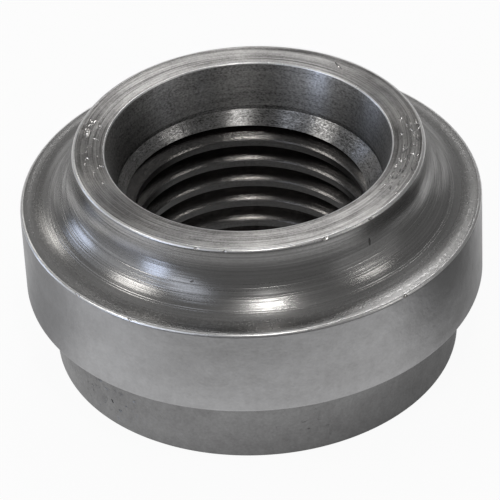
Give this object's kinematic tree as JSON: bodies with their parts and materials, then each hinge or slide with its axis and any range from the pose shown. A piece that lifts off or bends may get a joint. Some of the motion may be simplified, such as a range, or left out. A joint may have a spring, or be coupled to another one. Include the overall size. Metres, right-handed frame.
{
  "type": "weld bung",
  "caption": "Turned steel ring with a spigot, a coved collar and a threaded through port with a tapered O-ring seat; welded into a wall or tank to give it a screw-in port.",
  "frame": {"origin": "centre of the spigot's end face, on which the bung stands", "axes": "+Z along the bung's axis, from the spigot to the sealing face; X and Y are free, because the solid is round"},
  "size_m": [0.0254, 0.0254, 0.0127],
  "materials": {
    "turned_steel": "bare turned steel, satin band, polished cove, oily dark thread"
  },
  "bodies": {
    "root": {"weld_bung": "turned_steel"}
  },
  "joints": []
}
